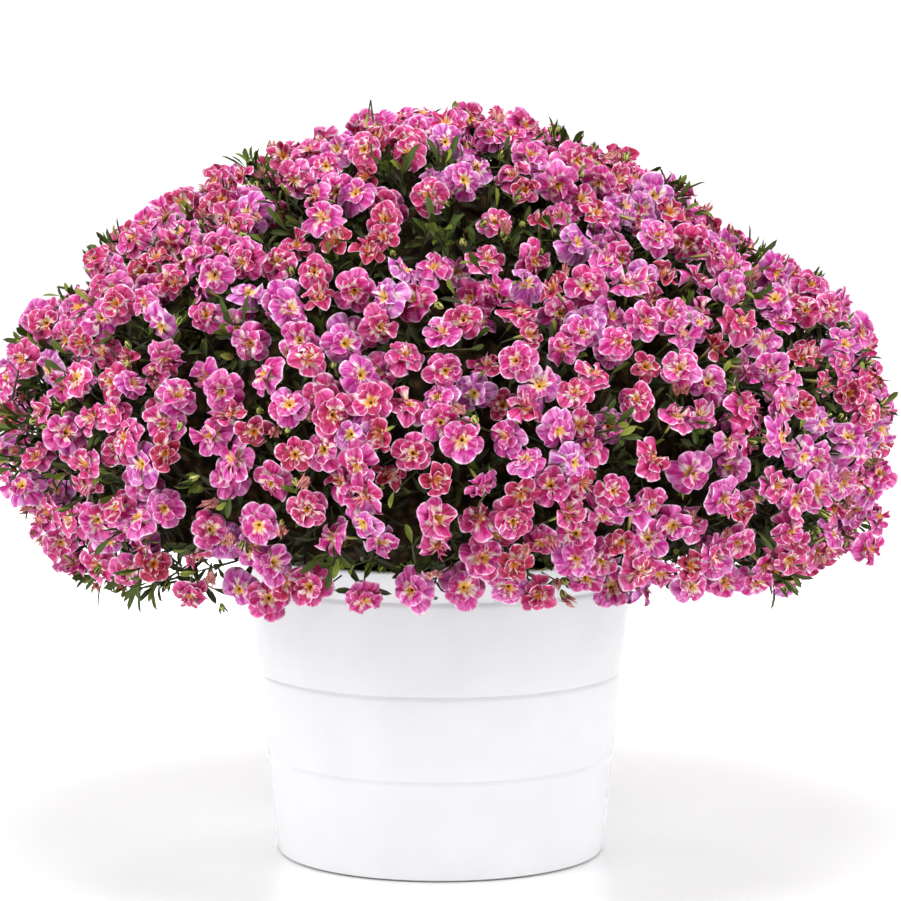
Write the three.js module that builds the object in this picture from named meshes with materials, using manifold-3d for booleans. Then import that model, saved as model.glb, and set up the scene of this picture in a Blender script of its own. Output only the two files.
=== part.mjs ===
// A mounded calibrachoa with double flowers, grown from three young plants in a stepped white pot.
// Millimetres, +Z up. The origin is the centre of the pot's flat base, and -Y is the front.

import * as THREE from 'three';
import { ConvexHull } from 'three/addons/math/ConvexHull.js';
import { mergeVertices } from 'three/addons/utils/BufferGeometryUtils.js';
import Module from 'manifold-3d';

const wasm = await Module();
wasm.setup();

// Pot: three sections of wall, each with a small shoulder that stands out under the next one.
const SIDES = 36;
const BASE_RADIUS = 113;
const RIM_RADIUS = 140;
const RIM_HEIGHT = 214;
const RIM_THICKNESS = 6.5;
const BASE_CHAMFER = 2.5;
const FLOOR_THICKNESS = 8;
const INNER_BASE_RADIUS = 107;
const INNER_RIM_RADIUS = 131.5;
const INNER_RIM_HEIGHT = 208;
const SHOULDERS = [
  { height: 69.5, radius: 120.6 },
  { height: 128, radius: 127.6 },
  { height: 192.5, radius: 135.8 },
];
const SHOULDER_STEP = 1.2;
const SHOULDER_HALF_HEIGHT = 2;

// Soil: fills the pot to a little under the rim. Pieces that touch keep the clearance.
const CLEARANCE = 0.35;
const SOIL_TOP = 198;

// Stems: each rises out of a plain hole in the soil. The three plants' crowns stand in a ring.
const STEM_SIDES = 4;
const STEM_RADIUS = 2.6;
const STEM_STEPS = 5;
const HOLE_DEPTH = 12;
const STEM_COLLAR = 3;
const CROWN_AZIMUTHS = [90, 210, 330];
const CROWN_RING_RADIUS = 58;
const CROWN_SPREAD = 0.075;
const UNROLLED_PER_DEGREE = 4.7;
const UNROLLED_CROWN = 300;

// Mound: a half ellipsoid over a shallower one, round a centre that stands over the pot. Its radius
// is that of the leafy core, and the flowers stand out of it.
const MOUND_CENTRE = new THREE.Vector3(0, 0, 300);
const MOUND_RADIUS = 301;
const MOUND_RISE = 202;
const MOUND_DROP = 168;
const FLANK = { polar: 55, width: 20, share: 0.085 };
const CLUMP_RISE = 3.5;
const CLUMP_RADIUS = 80;
const CORE_DEPTH = 48;
const HEM_POLAR = 118.5;
const FRONT_HEM_LIFT = 7;

// Swellings and dips of the mound: azimuth, angle from the top, height in mm, width in degrees.
const SWELLINGS = [
  [0, 27, -10, 8],
  [180, 25, -14, 10],
  [0, 43, 6, 7],
  [0, 58, -20, 8],
  [0, 72, 5, 7],
  [0, 103, 10, 8],
  [0, 9, 4, 7],
  [180, 60, 9, 10],
  [180, 82, -5, 10],
  [180, 104, -17, 12],
  [265, 45, 5, 12],
  [305, 70, -6, 12],
  [235, 68, 5, 10],
  [75, 50, 6, 14],
  [120, 75, -6, 12],
  [40, 80, 5, 12],
];

// Rows of leafy stems from the top to the hem: angle from the top, number of stems.
const STEM_ROWS = [
  [5, 1],
  [34, 5],
  [62, 9],
  [85, 12],
  [107, 11],
];
const STEM_JITTER = 2.5;

// Flowers and tufts of leaves: every place on the core carries one or the other.
const SEED = 20;
const PLACE_TRIES = 40000;
const PLACE_SPACING = 26.2;
const EVEN_SPACING = 36.2;
const EVEN_ROUNDS = 14;
const EVEN_PUSH = 0.3;
const EDGE_MARGIN = 15.2;
const EDGE_INSET = 0.018;
const PLACE_GAP = 0.3;
const TUFT_SHARE = 0.11;
const PETALS = 5;
const PETAL_LENGTH = 23;
const PETAL_RISE = 9;
const PETAL_VARIES = { turn: 0.08, rise: 1, length: 1.5 };
const THROAT_RISE = 3.5;
const NOTCH_SHARE = 0.74;
const NOTCH_MOST = 13;
const FACE_TILT = 0.14;
const LEAVES = 4;
const LEAF_LENGTH = 20;
const LEAF_WIDTH = 5.6;
const LEAF_LEAN = 38;
const LEAF_VARIES = { turn: 0.2, lean: 7, length: 2 };
const LEAF_ROOT = { ring: 3.6, half: 1.2, keel: 2.2 };
const LEAF_WIDEST = 0.55;
const FLIP_ROUNDS = 60;

const COLOURS = { glaze: 0xf3f4f5, soil: 0x2a211a, flowers: 0xdc4fa2 };

const rad = THREE.MathUtils.degToRad;

function seeded(seed) {
  let state = seed;
  return () => {
    state = (state + 0x6d2b79f5) | 0;
    let t = Math.imul(state ^ (state >>> 15), 1 | state);
    t = (t + Math.imul(t ^ (t >>> 7), 61 | t)) ^ t;
    return ((t ^ (t >>> 14)) >>> 0) / 4294967296;
  };
}

const random = seeded(SEED);
const spread = (amount) => (random() * 2 - 1) * amount;

// ---- the mound's form ----

function direction(azimuth, polar) {
  const flat = Math.sin(rad(polar));
  const tall = Math.cos(rad(polar));
  return new THREE.Vector3(flat * Math.cos(rad(azimuth)), flat * Math.sin(rad(azimuth)), tall);
}

function stemTips() {
  const tips = [];
  STEM_ROWS.forEach(([polar, count], row) => {
    for (let i = 0; i < count; i += 1) {
      const azimuth = ((i + 0.5 * (row % 2)) * 360) / count;
      const sideways = STEM_JITTER / Math.sin(rad(polar + 20));
      tips.push({ azimuth: azimuth + spread(sideways), polar: polar + spread(STEM_JITTER), row });
    }
  });
  return tips;
}

const tips = stemTips();
const tipDirections = tips.map((tip) => direction(tip.azimuth, tip.polar));

function nearestTip(dir) {
  let best = 0;
  tipDirections.forEach((tip, i) => {
    if (dir.dot(tip) > dir.dot(tipDirections[best])) best = i;
  });
  return best;
}

function coreRadius(dir) {
  const flat = Math.hypot(dir.x, dir.y);
  const tall = dir.z > 0 ? MOUND_RISE : MOUND_DROP;
  const polar = THREE.MathUtils.radToDeg(Math.acos(THREE.MathUtils.clamp(dir.z, -1, 1)));
  let radius = 1 / Math.hypot(flat / MOUND_RADIUS, dir.z / tall);
  radius *= 1 - FLANK.share * Math.exp(-(((polar - FLANK.polar) / FLANK.width) ** 2));
  for (const [azimuth, at, height, width] of SWELLINGS) {
    const away = THREE.MathUtils.radToDeg(dir.angleTo(direction(azimuth, at)));
    radius += height * Math.exp(-((away / width) ** 2));
  }
  const fromTip = dir.angleTo(tipDirections[nearestTip(dir)]) * radius;
  return radius + CLUMP_RISE * (1 - 2 * (fromTip / CLUMP_RADIUS) ** 2);
}

const corePoint = (dir) => dir.clone().multiplyScalar(coreRadius(dir)).add(MOUND_CENTRE);
const directionTo = (point) => point.clone().sub(MOUND_CENTRE).normalize();

// Two directions across an axis that make a right-handed set with it.
function across(axis) {
  const helper = Math.abs(axis.z) < 0.9 ? new THREE.Vector3(0, 0, 1) : new THREE.Vector3(1, 0, 0);
  const u = helper.cross(axis).normalize();
  return [u, axis.clone().cross(u)];
}

function outward(dir) {
  const [u, v] = across(dir);
  const step = 0.02;
  const at = corePoint(dir);
  const beside = corePoint(dir.clone().addScaledVector(u, step).normalize()).sub(at);
  const above = corePoint(dir.clone().addScaledVector(v, step).normalize()).sub(at);
  return beside.cross(above).normalize();
}

// ---- one patch of the mound for each leafy stem ----

// The patches are the Voronoi cells of the stems' tips. A second row of points under the hem closes
// the lowest ones.
function patches() {
  const hemPolar = (azimuth) => HEM_POLAR - FRONT_HEM_LIFT * Math.max(0, -Math.sin(rad(azimuth)));
  const lowest = tips.filter((tip) => tip.row === STEM_ROWS.length - 1);
  const under = lowest.map((tip) => direction(tip.azimuth, 2 * hemPolar(tip.azimuth) - tip.polar));
  const points = [...tipDirections, ...under, direction(0, 180)];
  const corners = new Map(points.map((point) => [point, []]));
  for (const face of new ConvexHull().setFromPoints(points).faces) {
    let edge = face.edge;
    do {
      corners.get(edge.head().point).push(face.normal.clone().normalize());
      edge = edge.next;
    } while (edge !== face.edge);
  }
  return tipDirections.map((tip) => {
    const [u, v] = across(tip);
    const turn = (corner) => Math.atan2(corner.dot(v), corner.dot(u));
    const ring = corners.get(tip).sort((a, b) => turn(a) - turn(b));
    const walls = ring.map((corner, i) => corner.clone().cross(ring[(i + 1) % ring.length]).normalize());
    return { tip, u, v, ring, walls };
  });
}

const cells = patches();

// The patch's edge, with a point half-way along each side. It is drawn in towards the tip, so that
// neighbouring patches stay apart, and a little less half-way, so that no side is straight.
function edgeDirections(cell) {
  const drawnIn = (dir, inset) => dir.divideScalar(dir.dot(cell.tip)).lerp(cell.tip, inset).normalize();
  return cell.ring.flatMap((corner, i) => {
    const next = cell.ring[(i + 1) % cell.ring.length];
    const middle = corner.clone().add(next).normalize();
    return [drawnIn(corner.clone(), EDGE_INSET), drawnIn(middle, 0.7 * EDGE_INSET)];
  });
}

// ---- places for flowers and tufts ----

function placeAt(dir, owner) {
  const foot = corePoint(dir);
  const normal = outward(dir);
  return { dir, owner, foot, normal, face: foot.clone().addScaledVector(normal, PETAL_RISE) };
}

function isInside(dir, owner) {
  const reach = coreRadius(dir);
  return cells[owner].walls.every((wall) => wall.dot(dir) * reach >= EDGE_MARGIN);
}

function scatter() {
  const places = [];
  for (let i = 0; i < PLACE_TRIES; i += 1) {
    const low = Math.cos(rad(HEM_POLAR));
    const height = low + random() * (1 - low);
    const dir = direction(random() * 360, THREE.MathUtils.radToDeg(Math.acos(height)));
    const owner = nearestTip(dir);
    if (!isInside(dir, owner)) continue;
    const place = placeAt(dir, owner);
    if (places.every((other) => other.face.distanceTo(place.face) > PLACE_SPACING)) places.push(place);
  }
  return places;
}

// Neighbours that stand too close push each other apart, each on its own stem's patch.
function evenOut(places) {
  for (let round = 0; round < EVEN_ROUNDS; round += 1) {
    places.forEach((place, i) => {
      const push = new THREE.Vector3();
      for (const other of places) {
        const apart = place.face.distanceTo(other.face);
        if (other === place || apart > EVEN_SPACING) continue;
        push.addScaledVector(place.face.clone().sub(other.face), EVEN_PUSH * (EVEN_SPACING / apart - 1));
      }
      const dir = directionTo(place.foot.clone().add(push));
      if (isInside(dir, place.owner) && nearestTip(dir) === place.owner) {
        places[i] = placeAt(dir, place.owner);
      }
    });
  }
}

// Half-way planes to the neighbours bound each place, so that no flower or leaf crosses another.
function settle(places) {
  for (const place of places) {
    place.turn = random() * 2 * Math.PI;
    place.isTuft = random() < TUFT_SHARE;
    place.axis = place.normal.clone();
    place.axis.add(new THREE.Vector3(spread(FACE_TILT), spread(FACE_TILT), spread(FACE_TILT))).normalize();
    place.bounds = places
      .filter((other) => other !== place && other.face.distanceTo(place.face) < 3 * EVEN_SPACING)
      .map((other) => {
        const towards = other.face.clone().sub(place.face);
        return { at: place.face.clone().addScaledVector(towards, 0.5), towards: towards.normalize() };
      });
  }
}

// How far a line may run from a point before it leaves the place, and at most the length given.
function reach(place, from, along, most) {
  let length = most;
  for (const { at, towards } of place.bounds) {
    const rate = along.dot(towards);
    if (rate < 0.02) continue;
    length = Math.min(length, (at.clone().sub(from).dot(towards) - PLACE_GAP) / rate);
  }
  return length;
}

const places = scatter();
evenOut(places);
settle(places);

// ---- a solid put together from its corners and triangles ----

class Solid {
  constructor() {
    this.points = [];
    this.faces = [];
  }

  point(position) {
    this.points.push(position.x, position.y, position.z);
    return this.points.length / 3 - 1;
  }

  triangle(a, b, c) {
    this.faces.push(a, b, c);
  }

  geometry() {
    const geometry = new THREE.BufferGeometry();
    geometry.setAttribute('position', new THREE.Float32BufferAttribute(this.points, 3));
    geometry.setIndex(this.faces);
    geometry.computeVertexNormals();
    return geometry;
  }
}

// A point beside a place, at a distance from it, brought onto the core.
function onCore(place, offset) {
  return corePoint(directionTo(place.foot.clone().add(offset)));
}

// A five-lobed flower: its notches lie on the core, its lobes overhang it and its throat is sunk.
// The loop of notches is returned, for the core to be left open inside it.
function addFlower(solid, place) {
  const [u, v] = across(place.axis);
  const step = (2 * Math.PI) / PETALS;
  const spoke = (angle) => u.clone().multiplyScalar(Math.cos(angle)).addScaledVector(v, Math.sin(angle));
  const lobes = Array.from({ length: PETALS }, (_, i) => {
    const out = spoke(place.turn + (i + 0.5) * step + spread(PETAL_VARIES.turn));
    const rise = PETAL_RISE + spread(PETAL_VARIES.rise);
    const above = place.foot.clone().addScaledVector(place.axis, rise);
    const length = reach(place, above, out, PETAL_LENGTH + spread(PETAL_VARIES.length));
    return { length, at: above.addScaledVector(out, length) };
  });
  const loop = lobes.map(({ length }, i) => {
    const shorter = Math.min(length, lobes.at(i - 1).length);
    const out = spoke(place.turn + i * step);
    const notch = reach(place, place.foot, out, Math.min(NOTCH_SHARE * shorter, NOTCH_MOST));
    const at = onCore(place, out.multiplyScalar(notch));
    return { at, index: solid.point(at) };
  });
  const throat = solid.point(place.foot.clone().addScaledVector(place.axis, THROAT_RISE));
  lobes.forEach(({ at }, i) => {
    const tip = solid.point(at);
    const before = loop[i].index;
    const after = loop[(i + 1) % PETALS].index;
    solid.triangle(throat, before, tip);
    solid.triangle(throat, tip, after);
    solid.triangle(before, after, tip);
  });
  return [loop];
}

// A tuft of pointed leaves that lean outwards, each a blade with a keel under it. One loop of roots
// is returned for each leaf.
function addTuft(solid, place) {
  const [u, v] = across(place.axis);
  const loops = [];
  for (let i = 0; i < LEAVES; i += 1) {
    const angle = place.turn + (i * 2 * Math.PI) / LEAVES + spread(LEAF_VARIES.turn);
    const out = u.clone().multiplyScalar(Math.cos(angle)).addScaledVector(v, Math.sin(angle));
    const side = place.axis.clone().cross(out);
    const lean = rad(LEAF_LEAN + spread(LEAF_VARIES.lean));
    const along = place.axis.clone().multiplyScalar(Math.cos(lean)).addScaledVector(out, Math.sin(lean));
    const root = (outwards, sideways) => {
      const at = onCore(place, out.clone().multiplyScalar(outwards).addScaledVector(side, sideways));
      return { at, index: solid.point(at) };
    };
    const left = root(LEAF_ROOT.ring, LEAF_ROOT.half);
    const right = root(LEAF_ROOT.ring, -LEAF_ROOT.half);
    const keel = root(LEAF_ROOT.ring + LEAF_ROOT.keel, 0);
    const middle = place.foot.clone().addScaledVector(out, LEAF_ROOT.ring);
    const length = reach(place, middle, along, LEAF_LENGTH + spread(LEAF_VARIES.length));
    const blade = (share, sideways) =>
      solid.point(middle.clone().addScaledVector(along, share * length).addScaledVector(side, sideways));
    const wideLeft = blade(LEAF_WIDEST, LEAF_WIDTH / 2);
    const wideRight = blade(LEAF_WIDEST, -LEAF_WIDTH / 2);
    const tip = blade(1, 0);
    solid.triangle(left.index, right.index, wideLeft);
    solid.triangle(right.index, wideRight, wideLeft);
    solid.triangle(wideRight, tip, wideLeft);
    solid.triangle(left.index, wideLeft, keel.index);
    solid.triangle(keel.index, wideRight, right.index);
    solid.triangle(keel.index, wideLeft, tip);
    solid.triangle(keel.index, tip, wideRight);
    loops.push([keel, left, right]);
  }
  return loops;
}

// ---- stems ----

// Where a stem leaves the soil. The holes of one plant lie as its stems' tips do, unrolled and small.
function stemFoot(tip) {
  const crown = CROWN_AZIMUTHS.reduce((best, azimuth) => {
    const off = (a) => Math.cos(rad(tip.azimuth - a));
    return off(azimuth) > off(best) ? azimuth : best;
  });
  const unrolled = direction(tip.azimuth, 90).multiplyScalar(tip.polar * UNROLLED_PER_DEGREE);
  const centre = direction(crown, 90);
  unrolled.addScaledVector(centre, -UNROLLED_CROWN).multiplyScalar(CROWN_SPREAD);
  return centre.multiplyScalar(CROWN_RING_RADIUS).add(unrolled).setZ(SOIL_TOP);
}

const feet = tips.map(stemFoot);

function stemPath(foot, tipDirection) {
  const end = corePoint(tipDirection).addScaledVector(tipDirection, -CORE_DEPTH);
  const bend = end.distanceTo(foot) / 3;
  return new THREE.CubicBezierCurve3(
    foot.clone().setZ(SOIL_TOP + STEM_COLLAR),
    foot.clone().setZ(SOIL_TOP + STEM_COLLAR + bend),
    end.clone().addScaledVector(tipDirection, -bend),
    end,
  );
}

function addStem(solid, foot, tipDirection) {
  const path = stemPath(foot, tipDirection);
  const bottom = foot.clone().setZ(SOIL_TOP - HOLE_DEPTH + CLEARANCE);
  const stations = [{ at: bottom, along: new THREE.Vector3(0, 0, 1) }];
  for (let i = 0; i <= STEM_STEPS; i += 1) {
    stations.push({ at: path.getPoint(i / STEM_STEPS), along: path.getTangent(i / STEM_STEPS) });
  }
  let side = new THREE.Vector3(1, 0, 0);
  const rings = stations.map(({ at, along }) => {
    side = side.clone().addScaledVector(along, -side.dot(along)).normalize();
    const up = along.clone().cross(side);
    return Array.from({ length: STEM_SIDES }, (_, i) => {
      const angle = (i * 2 * Math.PI) / STEM_SIDES;
      const corner = at.clone().addScaledVector(side, STEM_RADIUS * Math.cos(angle));
      return solid.point(corner.addScaledVector(up, STEM_RADIUS * Math.sin(angle)));
    });
  });
  for (let i = 1; i < STEM_SIDES - 1; i += 1) {
    solid.triangle(rings[0][0], rings[0][i + 1], rings[0][i]);
  }
  for (let r = 1; r < rings.length; r += 1) {
    for (let i = 0; i < STEM_SIDES; i += 1) {
      const next = (i + 1) % STEM_SIDES;
      solid.triangle(rings[r - 1][i], rings[r - 1][next], rings[r][next]);
      solid.triangle(rings[r - 1][i], rings[r][next], rings[r][i]);
    }
  }
  return rings.at(-1);
}

// The underside of the core: it widens from the end of the stem to the patch's edge.
function addUnderside(solid, cell, ring, edge) {
  const turnOf = (index) => {
    const at = new THREE.Vector3().fromArray(solid.points, 3 * index).sub(MOUND_CENTRE);
    return Math.atan2(at.dot(cell.v), at.dot(cell.u));
  };
  const withTurn = (index) => ({ index, turn: turnOf(index) });
  const byTurn = (loop) => loop.map(withTurn).sort((a, b) => a.turn - b.turn);
  const inner = byTurn(ring);
  const outer = byTurn(edge);
  const lap = (loop, i) => loop[i % loop.length].turn + 2 * Math.PI * Math.floor(i / loop.length);
  let i = 0;
  let o = 0;
  while (i < inner.length || o < outer.length) {
    const innerNow = inner[i % inner.length].index;
    const outerNow = outer[o % outer.length].index;
    const innerIsNext = o >= outer.length || (i < inner.length && lap(inner, i + 1) < lap(outer, o + 1));
    if (innerIsNext) {
      i += 1;
      solid.triangle(innerNow, inner[i % inner.length].index, outerNow);
    } else {
      o += 1;
      solid.triangle(innerNow, outer[o % outer.length].index, outerNow);
    }
  }
}

// Is d inside the circle through a, b and c, which turn left?
function isInCircle(a, b, c, d) {
  const rows = [a, b, c].map((p) => [p.x - d.x, p.y - d.y, (p.x - d.x) ** 2 + (p.y - d.y) ** 2]);
  return new THREE.Matrix3().set(...rows.flat()).determinant() > 1e-12;
}

// Flips the side that two triangles share wherever the other way across makes them rounder.
function roundOut(triangles, flats) {
  let flips = 1;
  for (let round = 0; round < FLIP_ROUNDS && flips > 0; round += 1) {
    flips = 0;
    const sides = new Map();
    triangles.forEach((corners, t) => corners.forEach((a, i) => {
      sides.set(`${a} ${corners[(i + 1) % 3]}`, { t, i });
    }));
    const moved = new Set();
    for (const [key, { t, i }] of sides) {
      const [a, b] = key.split(' ').map(Number);
      const other = sides.get(`${b} ${a}`);
      if (!other || moved.has(t) || moved.has(other.t)) continue;
      const c = triangles[t][(i + 2) % 3];
      const d = triangles[other.t][(other.i + 2) % 3];
      if (!isInCircle(flats[a], flats[b], flats[c], flats[d])) continue;
      triangles[t] = [a, d, c];
      triangles[other.t] = [d, b, c];
      moved.add(t).add(other.t);
      flips += 1;
    }
  }
}

// The top of the core, left open under each flower and leaf.
function addTop(solid, cell, edge, loops) {
  const flat = (at) => {
    const from = at.clone().sub(MOUND_CENTRE);
    from.divideScalar(from.dot(cell.tip));
    return new THREE.Vector2(from.dot(cell.u), from.dot(cell.v));
  };
  const all = [edge, ...loops].flat();
  const outline = edge.map(({ at }) => flat(at));
  const openings = loops.map((loop) => loop.map(({ at }) => flat(at)));
  const flats = all.map(({ at }) => flat(at));
  const triangles = THREE.ShapeUtils.triangulateShape(outline, openings).map(([a, b, c]) =>
    THREE.ShapeUtils.area([flats[a], flats[b], flats[c]]) > 0 ? [a, b, c] : [a, c, b]);
  roundOut(triangles, flats);
  for (const triangle of triangles) solid.triangle(...triangle.map((i) => all[i].index));
}

function leafyStem(owner) {
  const solid = new Solid();
  const cell = cells[owner];
  const loops = [];
  for (const place of places.filter((other) => other.owner === owner)) {
    loops.push(...(place.isTuft ? addTuft(solid, place) : addFlower(solid, place)));
  }
  const edge = edgeDirections(cell).map((dir) => {
    const at = corePoint(dir);
    return { at, index: solid.point(at) };
  });
  const ring = addStem(solid, feet[owner], cell.tip);
  addUnderside(solid, cell, ring, edge.map(({ index }) => index));
  addTop(solid, cell, edge, loops);
  return solid.geometry();
}

// ---- pot and soil ----

function potGeometry() {
  const outer = [
    [0, 0],
    [BASE_RADIUS - BASE_CHAMFER, 0],
    [BASE_RADIUS, BASE_CHAMFER],
  ];
  for (const { height, radius } of SHOULDERS) {
    outer.push([radius, height - SHOULDER_HALF_HEIGHT]);
    outer.push([radius - SHOULDER_STEP, height + SHOULDER_HALF_HEIGHT]);
  }
  const rim = [
    [RIM_RADIUS, RIM_HEIGHT - 3],
    [RIM_RADIUS - 1.5, RIM_HEIGHT],
    [RIM_RADIUS - RIM_THICKNESS, RIM_HEIGHT],
    [INNER_RIM_RADIUS, INNER_RIM_HEIGHT],
    [INNER_BASE_RADIUS, FLOOR_THICKNESS],
    [0, FLOOR_THICKNESS],
  ];
  const profile = [...outer, ...rim].map(([radius, height]) => new THREE.Vector2(radius, height));
  return new THREE.LatheGeometry(profile, SIDES).rotateX(Math.PI / 2);
}

function toManifold(geometry) {
  const bare = geometry.clone();
  bare.deleteAttribute('normal');
  bare.deleteAttribute('uv');
  const merged = mergeVertices(bare, 1e-4);
  return new wasm.Manifold(new wasm.Mesh({
    numProp: 3,
    vertProperties: Float32Array.from(merged.attributes.position.array),
    triVerts: Uint32Array.from(merged.index.array),
  }));
}

function fromManifold(manifold) {
  const mesh = manifold.getMesh();
  const geometry = new THREE.BufferGeometry();
  geometry.setAttribute('position', new THREE.Float32BufferAttribute(mesh.vertProperties, 3));
  geometry.setIndex(Array.from(mesh.triVerts));
  geometry.computeVertexNormals();
  return geometry;
}

function soilGeometry() {
  const slope = (INNER_RIM_RADIUS - INNER_BASE_RADIUS) / (INNER_RIM_HEIGHT - FLOOR_THICKNESS);
  const radiusAt = (height) => INNER_BASE_RADIUS + slope * (height - FLOOR_THICKNESS) - 2 * CLEARANCE;
  const bottom = FLOOR_THICKNESS + CLEARANCE;
  const profile = [
    [0, bottom],
    [radiusAt(bottom), bottom],
    [radiusAt(SOIL_TOP), SOIL_TOP],
    [0, SOIL_TOP],
  ].map(([radius, height]) => new THREE.Vector2(radius, height));
  let soil = toManifold(new THREE.LatheGeometry(profile, SIDES).rotateX(Math.PI / 2));
  for (const foot of feet) {
    const hole = new THREE.CylinderGeometry(1, 1, 2 * HOLE_DEPTH, STEM_SIDES);
    const width = STEM_RADIUS + 1.5 * CLEARANCE;
    hole.scale(width, 1, width).rotateX(Math.PI / 2).translate(foot.x, foot.y, foot.z);
    soil = soil.subtract(toManifold(hole));
  }
  return fromManifold(soil);
}

// ---- the whole plant ----

function addPiece(group, name, geometry, colour, roughness) {
  const material = new THREE.MeshStandardMaterial({ color: colour, roughness, metalness: 0 });
  const mesh = new THREE.Mesh(geometry, material);
  mesh.name = name;
  group.add(mesh);
}

const plant = new THREE.Group();
addPiece(plant, 'pot', potGeometry(), COLOURS.glaze, 0.1);
addPiece(plant, 'soil', soilGeometry(), COLOURS.soil, 0.95);
tips.forEach((tip, i) => {
  addPiece(plant, `leafy_stem_${String(i + 1).padStart(2, '0')}`, leafyStem(i), COLOURS.flowers, 0.6);
});

export default plant;
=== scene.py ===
import math
from functools import partial

import bpy
import numpy as np
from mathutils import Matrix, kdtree


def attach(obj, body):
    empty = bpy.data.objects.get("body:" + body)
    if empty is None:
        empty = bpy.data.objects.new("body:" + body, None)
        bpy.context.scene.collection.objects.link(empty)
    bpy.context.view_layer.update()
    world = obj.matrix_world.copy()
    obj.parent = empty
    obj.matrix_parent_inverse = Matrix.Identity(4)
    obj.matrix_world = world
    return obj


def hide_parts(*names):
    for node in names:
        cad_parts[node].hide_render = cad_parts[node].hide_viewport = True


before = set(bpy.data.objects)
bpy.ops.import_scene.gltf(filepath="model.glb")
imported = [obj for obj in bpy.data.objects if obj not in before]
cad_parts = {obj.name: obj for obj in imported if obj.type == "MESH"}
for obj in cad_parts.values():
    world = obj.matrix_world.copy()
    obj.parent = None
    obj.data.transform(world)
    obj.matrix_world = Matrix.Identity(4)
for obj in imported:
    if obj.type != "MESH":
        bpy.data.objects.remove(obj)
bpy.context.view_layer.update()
print("frame loaded:", len(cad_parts), "nodes")


def linear(colour):
    channels = [int(colour[i:i + 2], 16) / 255 for i in (0, 2, 4)]
    return [c / 12.92 if c <= 0.04045 else ((c + 0.055) / 1.055) ** 2.4 for c in channels] + [1.0]


# Values and links, by socket or in the sockets' order; a node stands for its first output.
def setInputs(node, inputs):
    for where, value in inputs.items() if isinstance(inputs, dict) else enumerate(inputs):
        if isinstance(value, bpy.types.Node):
            value = value.outputs[0]
        if isinstance(value, bpy.types.NodeSocket):
            node.id_data.links.new(value, node.inputs[where])
        else:
            node.inputs[where].default_value = value


# A node with its settings, its inputs, and the stops of its colour ramp.
def addNode(tree, kind, inputs=(), stops=(), **settings):
    node = tree.nodes.new("ShaderNode" + kind)
    for name, value in settings.items():
        setattr(node, name, value)
    setInputs(node, inputs)
    for i, (place, colour) in enumerate(stops):
        ramp = node.color_ramp.elements
        element = ramp[i] if i < 2 else ramp.new(place)
        element.position = place
        element.color = linear(colour)
    return node


# Settings that many nodes share: a map range with soft ends, a product plus a third value.
eased = {"interpolation_type": "SMOOTHSTEP"}
plus = {"operation": "MULTIPLY_ADD"}


# A material, the function that adds nodes to it, and its shader.
def newMaterial(name):
    material = bpy.data.materials.new(name)
    material.use_nodes = True
    tree = material.node_tree
    return material, partial(addNode, tree), tree.nodes["Principled BSDF"]


def newObject(name, points, faces, materials, smooth=True):
    mesh = bpy.data.meshes.new(name)
    mesh.from_pydata(points, [], faces)
    for material in materials:
        mesh.materials.append(material)
    if smooth:
        mesh.shade_smooth()
    thing = bpy.data.objects.new(name, mesh)
    bpy.context.scene.collection.objects.link(thing)
    return thing


def unit(vectors):
    return vectors / np.linalg.norm(vectors, axis=-1, keepdims=True)


# Every petal, leaf and stem is a sheet, a small grid of faces, and a heap gathers a piece's sheets.
def grid(across, along):
    u, v = np.meshgrid(np.linspace(-1, 1, across + 1), np.linspace(0, 1, along + 1))
    spot = np.arange(u.size).reshape(u.shape)
    faces = np.stack([spot[:-1, :-1], spot[1:, :-1], spot[1:, 1:], spot[:-1, 1:]], -1)
    return u.ravel(), v.ravel(), faces.reshape(-1, 4)


def newHeap():
    return {"points": [], "uv": [], "faces": [], "tone": [], "grain": [], "sheet": [], "stuff": [],
            "size": 0, "sheets": 0}


# points has a row for each sheet; tone and grain have one value for each sheet.
def addSheets(heap, points, shape, tone, grain, stuff):
    u, v, faces = shape
    sheets, n = points.shape[:2]
    starts = heap["size"] + n * np.arange(sheets)
    heap["points"].append(points.reshape(-1, 3))
    heap["uv"].append(np.tile(np.stack([(u + 1) / 2, v], -1), (sheets, 1)))
    heap["faces"].append((starts[:, None, None] + faces).reshape(-1, 4))
    heap["tone"].append(np.repeat(np.broadcast_to(tone, sheets), n))
    heap["grain"].append(np.repeat(np.broadcast_to(grain, sheets), n))
    heap["sheet"].append(np.repeat(heap["sheets"] + np.arange(sheets), n))
    heap["stuff"].append(np.full(sheets * len(faces), stuff))
    heap["size"] += sheets * n
    heap["sheets"] += sheets


# The materials of a stem's flowers and of its foliage, by their places in the piece's list.
isPetal, isThroat, isTube, isBud, isWithered, isSepal = range(6)
isLeaf, isStem = range(2)
tileMargin = 0.08


# The piece gets a map "blade" for its patterns, where each sheet fills the square, and a map
# "OFBake" where each sheet has a tile of its own.
def makePiece(name, heap, materials):
    points, faces, uv, sheet = (np.concatenate(heap[key]) for key in ("points", "faces", "uv", "sheet"))
    piece = newObject(name, points.tolist(), faces.tolist(), materials)
    mesh = piece.data
    side = math.ceil(math.sqrt(heap["sheets"]))
    tile = np.stack([sheet % side, sheet // side], -1)
    inTile = (tile + tileMargin + (1 - 2 * tileMargin) * uv) / side
    for layerName, places in (("blade", uv), ("OFBake", inTile)):
        layer = mesh.uv_layers.new(name=layerName)
        layer.data.foreach_set("uv", places[faces.ravel()].ravel())
    for key in ("tone", "grain"):
        attribute = mesh.attributes.new(key, "FLOAT", "POINT")
        attribute.data.foreach_set("value", np.concatenate(heap[key]))
    mesh.polygons.foreach_set("material_index", np.concatenate(heap["stuff"]))
    mesh.update()
    return piece


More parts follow.
